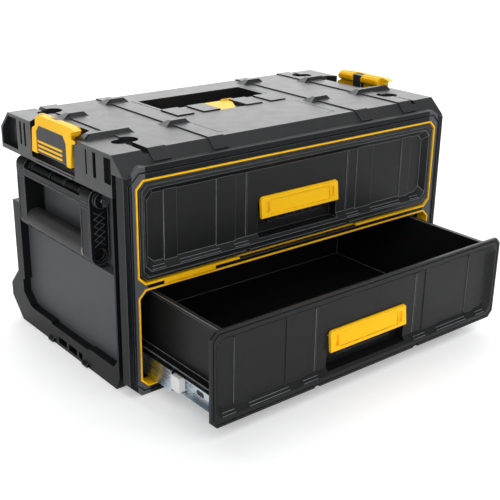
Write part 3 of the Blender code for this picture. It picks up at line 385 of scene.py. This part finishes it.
def make_materials():
    """Two materials for each slot: its faces, and its rounded edges, painted lighter as a painted
    highlight (darker on yellow, a painted shade).
    """
    for slot, (dark, light, roughness, gloss) in BLACKS.items():
        # The case's side panels get a painted lighter tone, standing in for reflected light
        recess = RECESS_PAINTED_LIGHT if slot == "case_plastic" else None
        face = moulded(slot, dark, light, roughness, gloss, recess=recess)
        # Each black's edges are painted lighter: a painted highlight along the rounded edges
        edge_highlight_tone = tuple(channel * EDGE_HIGHLIGHT_GAIN for channel in dark)
        edge = edge_highlight_shade_and_wear(slot + "_edge", edge_highlight_tone, EDGE_ROUGHNESS, EDGE_GLOSS)
        materials[slot] = (face, edge)
    yellow = moulded("yellow_plastic", *YELLOWS, 0.42, 0.10, 1400.0, 0.00003)
    # The yellow edges take a darker colour: painted shade along them
    materials["yellow_plastic"] = (yellow, edge_highlight_shade_and_wear("yellow_edge", YELLOW_EDGE_SHADE, 0.32, 0.25))
    white = moulded("white_plastic", *WHITES, 0.38, 0.4, 700.0, 0.00004)
    materials["white_plastic"] = (white, edge_highlight_shade_and_wear("white_edge", WHITE_EDGE_HIGHLIGHT, 0.30, 0.4))
    materials["zinc_steel"] = (
        zinc("zinc_steel", *ZINCS, 0.26),
        zinc("zinc_edge", *ZINC_EDGE_HIGHLIGHTS, 0.22),
    )


def dress(obj, slot, width=None):
    """Gives an object a slot's face and edge materials, rounded edges and smooth shading."""
    obj.data.materials.clear()
    for finish in materials[slot]:
        obj.data.materials.append(finish)
    obj.data.shade_smooth()
    weld = obj.modifiers.new("weld", "WELD")
    weld.merge_threshold = WELD_DISTANCE
    flat = obj.modifiers.new("flat", "DECIMATE")
    flat.decimate_type = "DISSOLVE"
    flat.angle_limit = math.radians(FLAT_ANGLE)
    edge = obj.modifiers.new("edge", "BEVEL")
    edge.width = width or EDGE_WIDTH[slot]
    edge.segments = 2
    edge.limit_method = "ANGLE"
    edge.angle_limit = math.radians(EDGE_ANGLE)
    edge.use_clamp_overlap = True
    edge.material = 1
    shading = obj.modifiers.new("shading", "WEIGHTED_NORMAL")
    shading.keep_sharp = True
    shading.weight = SHADING_WEIGHT


def dress_nodes():
    for row in frame["record"]["subparts"]:
        name, slot = row["node"], row["material_slot"]
        if name.endswith("spring"):
            NODES[name].data.materials.clear()
            NODES[name].data.materials.append(materials[slot][0])
            NODES[name].data.shade_smooth()
        else:
            dress(NODES[name], slot)


# Mesh helpers


def loop_at(bm, outline, along, axis):
    """Adds an outline's points, which lie in the other two axes, at one place along an axis."""
    spots = [list(point) for point in outline]
    for spot in spots:
        spot.insert("XYZ".index(axis), along)
    return [bm.verts.new(spot) for spot in spots]


def bridge(bm, first, second):
    """Joins two loops of the same number of points by a band of faces."""
    count = len(first)
    for i in range(count):
        j = (i + 1) % count
        bm.faces.new((first[i], first[j], second[j], second[i]))


def prism(bm, outline, low, high, axis):
    """Adds a prism: an outline in the other two axes, swept along one axis."""
    ends = [loop_at(bm, outline, along, axis) for along in (low, high)]
    bm.faces.new(ends[0])
    bm.faces.new(ends[1])
    bridge(bm, ends[0], ends[1])


def block(bm, corner, opposite):
    (x0, y0, z0), (x1, y1, z1) = corner, opposite
    prism(bm, [(x0, y0), (x1, y0), (x1, y1), (x0, y1)], z0, z1, "Z")


def circle(middle, radius, count=28):
    a, b = middle
    turns = [2 * math.pi * i / count for i in range(count)]
    return [(a + radius * math.cos(t), b + radius * math.sin(t)) for t in turns]


def collar(bm, outer, inner, low, high, axis):
    """Adds a ring between two outlines of the same number of points."""
    sections = ((outer, low), (outer, high), (inner, high), (inner, low))
    loops = [loop_at(bm, line, along, axis) for line, along in sections]
    for first, second in zip(loops, loops[1:] + loops[:1]):
        bridge(bm, first, second)


def piece(name, bm, body, slot, width=None):
    """Turns a bmesh into a piece that rides on a body and takes a slot's finish."""
    bmesh.ops.recalc_face_normals(bm, faces=bm.faces)
    mesh = bpy.data.meshes.new(name)
    bm.to_mesh(mesh)
    bm.free()
    obj = bpy.data.objects.new(name, mesh)
    bpy.context.scene.collection.objects.link(obj)
    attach(obj, body)
    dress(obj, slot, width)
    return obj


# Pieces


def front_steps(bay):
    """Stepped ridges along the foot of a drawer front."""
    low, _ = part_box(f"{bay}_drawer_front")
    outline = [(low[1] + depth, low[2] + rise) for depth, rise in STEP_PROFILE]
    bm = bmesh.new()
    for side in SIDES.values():
        for inner, outer in STEP_REACHES:
            prism(bm, outline, side * inner, side * outer, "X")
    piece(f"{bay}_front_steps", bm, f"{bay}_drawer", "drawer_plastic", STEP_EDGE)


def front_bands(bay):
    """Raised upright bands on the panels either side of a drawer's finger recess."""
    low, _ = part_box(f"{bay}_drawer_front")
    bm = bmesh.new()
    for side in SIDES.values():
        for inner, outer in BAND_REACHES:
            block(
                bm,
                (side * inner, low[1] + BAND_NEAR, low[2] + BAND_LOW),
                (side * outer, low[1] + BAND_FAR, low[2] + BAND_HIGH),
            )
    piece(f"{bay}_front_bands", bm, f"{bay}_drawer", "drawer_plastic", BAND_EDGE)


def latch_details(name, side):
    """Stripes on the inlay, ribs on the hooks and the dark core between the hooks."""
    low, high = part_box(f"{name}_latch")
    near = low[1]
    body = f"{name}_latch_body"
    bm = bmesh.new()
    for middle in STRIPE_HEIGHTS:
        block(
            bm,
            (side * STRIPE_REACH[0], near + STRIPE_NEAR, middle - STRIPE_HALF),
            (side * STRIPE_REACH[1], near + STRIPE_FAR, middle + STRIPE_HALF),
        )
    piece(f"{name}_latch_stripes", bm, body, "yellow_plastic", FINE_EDGE)
    bm = bmesh.new()
    for start, count in HOOK_RIB_STARTS:
        for i in range(count):
            spot = near + start + HOOK_RIB_PITCH * i
            block(
                bm,
                (side * HOOK_RIB_REACH[0], spot, HOOK_RIB_LOW),
                (side * HOOK_RIB_REACH[1], spot + HOOK_RIB_WIDTH, HOOK_RIB_HIGH),
            )
    piece(f"{name}_latch_ribs", bm, body, "yellow_plastic", FINE_EDGE)
    bm = bmesh.new()
    block(
        bm,
        (side * CORE_REACH[0], near + CORE_NEAR, CORE_LOW),
        (side * CORE_REACH[1], near + CORE_FAR, high[2] - CORE_BELOW_TOP),
    )
    piece(f"{name}_latch_core", bm, body, "label_plastic")


def hinge_collars(name, side):
    """Raised collars on the case's hinge barrels."""
    low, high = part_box(f"{name}_handle_pin")
    axis = (side * abs(low[0] + high[0]) / 2, (low[2] + high[2]) / 2)
    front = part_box("front_bezel")[0][1]
    bm = bmesh.new()
    for start, end, radius in COLLARS:
        outer, inner = circle(axis, radius), circle(axis, COLLAR_BORE)
        collar(bm, outer, inner, front + start, front + end, "Y")
    piece(f"{name}_hinge_collars", bm, "case", "handle_plastic", THIN_EDGE)


def capsule(x, foot, top, radius, parts=10):
    """An upright outline with round ends, centred on two heights."""
    line = []
    for middle, start in ((top, 0.0), (foot, math.pi)):
        turns = [start + math.pi * i / parts for i in range(parts + 1)]
        line += [(x + radius * math.cos(t), middle + radius * math.sin(t)) for t in turns]
    return line


def arm_end(bm, x, foot, top, outside, inside):
    """A rim round the end face of an arm, and crossed ribs inside it."""
    outer, inner = capsule(x, foot, top, RIM_OUTER), capsule(x, foot, top, RIM_INNER)
    collar(bm, outer, inner, outside, inside, "Y")
    rises = [foot + CROSS_START + CROSS_PITCH * i for i in range(CROSS_COUNT + 1)]
    sunk = math.copysign(CROSS_STEP, inside - outside)
    for start, end in zip(rises, rises[1:]):
        for lean, sink in ((CROSS_LEAN, 0.0), (-CROSS_LEAN, sunk)):
            rib = [
                (x - lean, start - CROSS_HALF),
                (x - lean, start + CROSS_HALF),
                (x + lean, end + CROSS_HALF),
                (x + lean, end - CROSS_HALF),
            ]
            prism(bm, rib, outside + sink, inside, "Y")


def handle_details(name, side):
    """Rims and crossed ribs on the arms' ends, ridges on their faces and a bead on the bar."""
    low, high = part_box(f"{name}_handle_frame")
    pin_low, pin_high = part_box(f"{name}_handle_pin")
    x = side * abs(pin_low[0] + pin_high[0]) / 2
    top = (pin_low[2] + pin_high[2]) / 2
    foot = low[2] + ARM_RADIUS
    bm = bmesh.new()
    for face, inward in ((low[1], 1), (high[1], -1)):
        arm_end(bm, x, foot, top, face - inward * RIM_PROUD, face + inward * RIM_SUNK)
    outer = abs(low[0] if side < 0 else high[0])
    for near, far in ((low[1], low[1] + ARM_WIDTH), (high[1] - ARM_WIDTH, high[1])):
        for height in RIDGE_HEIGHTS:
            block(
                bm,
                (side * (outer - RIDGE_SUNK), near + RIDGE_INSET, height - RIDGE_HALF),
                (side * (outer + RIDGE_PROUD), far - RIDGE_INSET, height + RIDGE_HALF),
            )
        for across in (near + EDGE_LINES[0], far - EDGE_LINES[1]):
            block(
                bm,
                (side * (outer - RIDGE_SUNK), across, foot),
                (side * (outer + EDGE_LINE_PROUD), across + EDGE_LINE_WIDTH, EDGE_LINE_TOP),
            )
    block(
        bm,
        (side * BEAD_REACH[0], low[1] + BEAD_INSET, BEAD_LOW),
        (side * BEAD_REACH[1], high[1] - BEAD_INSET, BEAD_HIGH),
    )
    piece(f"{name}_handle_ribs", bm, f"{name}_handle", "handle_plastic", THIN_EDGE)


def grip_sleeve(name):
    """The soft grip, with finger swells along its underside."""
    low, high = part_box(f"{name}_handle_grip")
    middle = ((low[0] + high[0]) / 2, (low[2] + high[2]) / 2)
    radius = (high[2] - low[2]) / 2 + GRIP_COVER
    turns = [2 * math.pi * k / GRIP_AROUND for k in range(GRIP_AROUND)]
    bm = bmesh.new()
    loops = []
    for i in range(GRIP_STATIONS + 1):
        share = i / GRIP_STATIONS
        wave = 0.5 - 0.5 * math.cos(2 * math.pi * GRIP_SWELLS * share)
        swell = GRIP_SWELL * wave * min(1.0, share * GRIP_ENDS, (1 - share) * GRIP_ENDS)
        outline = []
        for turn in turns:
            r = radius + swell * max(0.0, -math.sin(turn))
            outline.append((middle[0] + r * math.cos(turn), middle[1] + r * math.sin(turn)))
        loops.append(loop_at(bm, outline, low[1] + (high[1] - low[1]) * share, "Y"))
    for first, second in zip(loops, loops[1:]):
        bridge(bm, first, second)
    bm.faces.new(loops[0])
    bm.faces.new(loops[-1])
    sleeve = piece(f"{name}_grip_sleeve", bm, f"{name}_handle", "grip_rubber")
    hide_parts(f"{name}_handle_grip")


def skirt_ledge(name, side):
    """A ledge along the foot of the deck's skirt, below the latch."""
    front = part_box("front_bezel")[0][1]
    bm = bmesh.new()
    for outer, near, far, base, top in LEDGES:
        block(bm, (side * LEDGE_FOOT, front + near, base), (side * outer, front + far, top))
    piece(f"{name}_skirt_ledge", bm, "case", "deck_plastic", THIN_EDGE)


def oblong(middle, half_length, half_height, parts=8):
    """A lying outline with round ends."""
    place, height = middle
    straight = half_length - half_height
    line = []
    for end, start in ((straight, -0.5), (-straight, 0.5)):
        turns = [math.pi * (start + i / parts) for i in range(parts + 1)]
        line += [
            (place + end + half_height * math.cos(t), height + half_height * math.sin(t))
            for t in turns
        ]
    return line


def slide_details(bay, name, side):
    """A dark block filling a drawer member's oblong eye as painted shade, a hole's rim and a
    pressed bead.
    """
    low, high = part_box(f"{bay}_{name}_drawer_slide")
    middle = (low[2] + high[2]) / 2
    eye = (low[1] + EYE_DEPTH, middle)
    hole = (low[1] + HOLE_DEPTH, middle)
    inside = side * (WEB_REACH - WEB_SUNK)
    opening = oblong(eye, EYE_LENGTH, EYE_HEIGHT)
    bm = bmesh.new()
    # Painted shade: a dark block fills the oblong eye, standing in for the shadowed opening
    prism(bm, opening, inside, side * (WEB_REACH + EYE_SHADE_PROUD), "X")
    piece(f"{bay}_{name}_slide_eye_shade", bm, f"{bay}_drawer", "label_plastic", FINE_EDGE)
    bm = bmesh.new()
    rim = oblong(eye, EYE_LENGTH + EYE_RIM, EYE_HEIGHT + EYE_RIM)
    collar(bm, rim, opening, inside, side * (WEB_REACH + EYE_RIM_PROUD), "X")
    outer, inner = circle(hole, HOLE_RIM), circle(hole, HOLE_RADIUS)
    collar(bm, outer, inner, inside, side * (WEB_REACH + HOLE_RIM_PROUD), "X")
    block(
        bm,
        (inside, low[1] + PRESS_NEAR, middle - PRESS_LOW),
        (side * (WEB_REACH + PRESS_PROUD), high[1] - PRESS_FAR, middle - PRESS_HIGH),
    )
    piece(f"{bay}_{name}_slide_press", bm, f"{bay}_drawer", "zinc_steel", THIN_EDGE)


def patch_ribs():
    """Grip ribs on the yellow patch of the cross bar."""
    low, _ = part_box("upper_trim_ring")
    bm = bmesh.new()
    for i in range(PATCH_RIBS):
        spot = PATCH_START + PATCH_PITCH * i
        block(
            bm,
            (spot, low[1] - PATCH_PROUD, low[2] + PATCH_LOW),
            (spot + PATCH_RIB, low[1] + PATCH_PROUD, low[2] + PATCH_HIGH),
        )
    piece("grip_patch_ribs", bm, "case", "yellow_plastic", FINE_EDGE)


def rail_lugs(name, side):
    """Two lugs on a bottom rail, either side of its catch slots."""
    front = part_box("front_bezel")[0][1]
    bm = bmesh.new()
    profile = [(side * reach, height) for reach, height in LUG_PROFILE]
    for near, far in LUG_DEPTHS:
        prism(bm, profile, front + near, front + far, "Y")
    piece(f"{name}_rail_lugs", bm, "case", "case_plastic", BAND_EDGE)


# Studio


def look_at(obj, target):
    obj.rotation_euler = (Vector(target) - obj.location).to_track_quat("-Z", "Y").to_euler()


def camera():
    data = bpy.data.cameras.new("photo_camera")
    data.lens = LENS_MM
    data.sensor_width = SENSOR_MM
    data.clip_start = CLIP_START
    obj = bpy.data.objects.new("photo_camera", data)
    bpy.context.scene.collection.objects.link(obj)
    forward = CAMERA_FORWARD.normalized()
    right = (CAMERA_RIGHT - forward * CAMERA_RIGHT.dot(forward)).normalized()
    up = right.cross(forward)
    turn = Matrix((right, up, -forward)).transposed()
    obj.matrix_world = Matrix.Translation(CAMERA_PLACE) @ turn.to_4x4()
    bpy.context.scene.camera = obj


def soft_sun(name, azimuth, elevation, strength, spread):
    """A broad even light from an azimuth (0 behind the box, towards +Y) and an elevation."""
    data = bpy.data.lights.new(name, "SUN")
    data.energy = strength
    data.angle = math.radians(spread)
    obj = bpy.data.objects.new(name, data)
    bpy.context.scene.collection.objects.link(obj)
    flat = math.cos(math.radians(elevation))
    obj.location = Vector(
        (
            SUN_DISTANCE * flat * math.sin(math.radians(azimuth)),
            SUN_DISTANCE * flat * math.cos(math.radians(azimuth)),
            SUN_DISTANCE * math.sin(math.radians(elevation)),
        )
    )
    look_at(obj, (0.0, 0.0, 0.0))


def studio():
    """A pale floor, a dim pale surround and broad soft lights."""
    world = bpy.data.worlds.new("studio")
    world.use_nodes = True
    background = world.node_tree.nodes["Background"]
    background.inputs["Color"].default_value = WORLD_COLOUR
    background.inputs["Strength"].default_value = WORLD_STRENGTH
    bpy.context.scene.world = world
    mesh = bpy.data.meshes.new("floor")
    corners = [(-1, -1), (1, -1), (1, 1), (-1, 1)]
    spots = [(FLOOR_REACH * x, FLOOR_REACH * y, 0) for x, y in corners]
    mesh.from_pydata(spots, [], [(0, 1, 2, 3)])
    floor = bpy.data.objects.new("floor", mesh)
    floor.location.z = -FLOOR_DROP
    graph = Graph("floor", (FLOOR_TONE,) * 3, 0.9)
    graph.set("Specular IOR Level", 0.0)
    graph.set("Emission Color", (1.0, 1.0, 1.0, 1.0))
    graph.set("Emission Strength", FLOOR_GLOW)
    mesh.materials.append(graph.material)
    bpy.context.scene.collection.objects.link(floor)
    for name, (azimuth, elevation, strength, spread) in SUNS.items():
        soft_sun(name, azimuth, elevation, strength, spread)
    bpy.context.scene.view_settings.view_transform = "Standard"


def main():
    camera()
    make_materials()
    dress_nodes()
    for bay in BAYS:
        front_steps(bay)
        front_bands(bay)
    for name, side in SIDES.items():
        latch_details(name, side)
        hinge_collars(name, side)
        handle_details(name, side)
        grip_sleeve(name)
        rail_lugs(name, side)
        skirt_ledge(name, side)
        for bay in BAYS:
            slide_details(bay, name, side)
    patch_ribs()
    studio()


main()
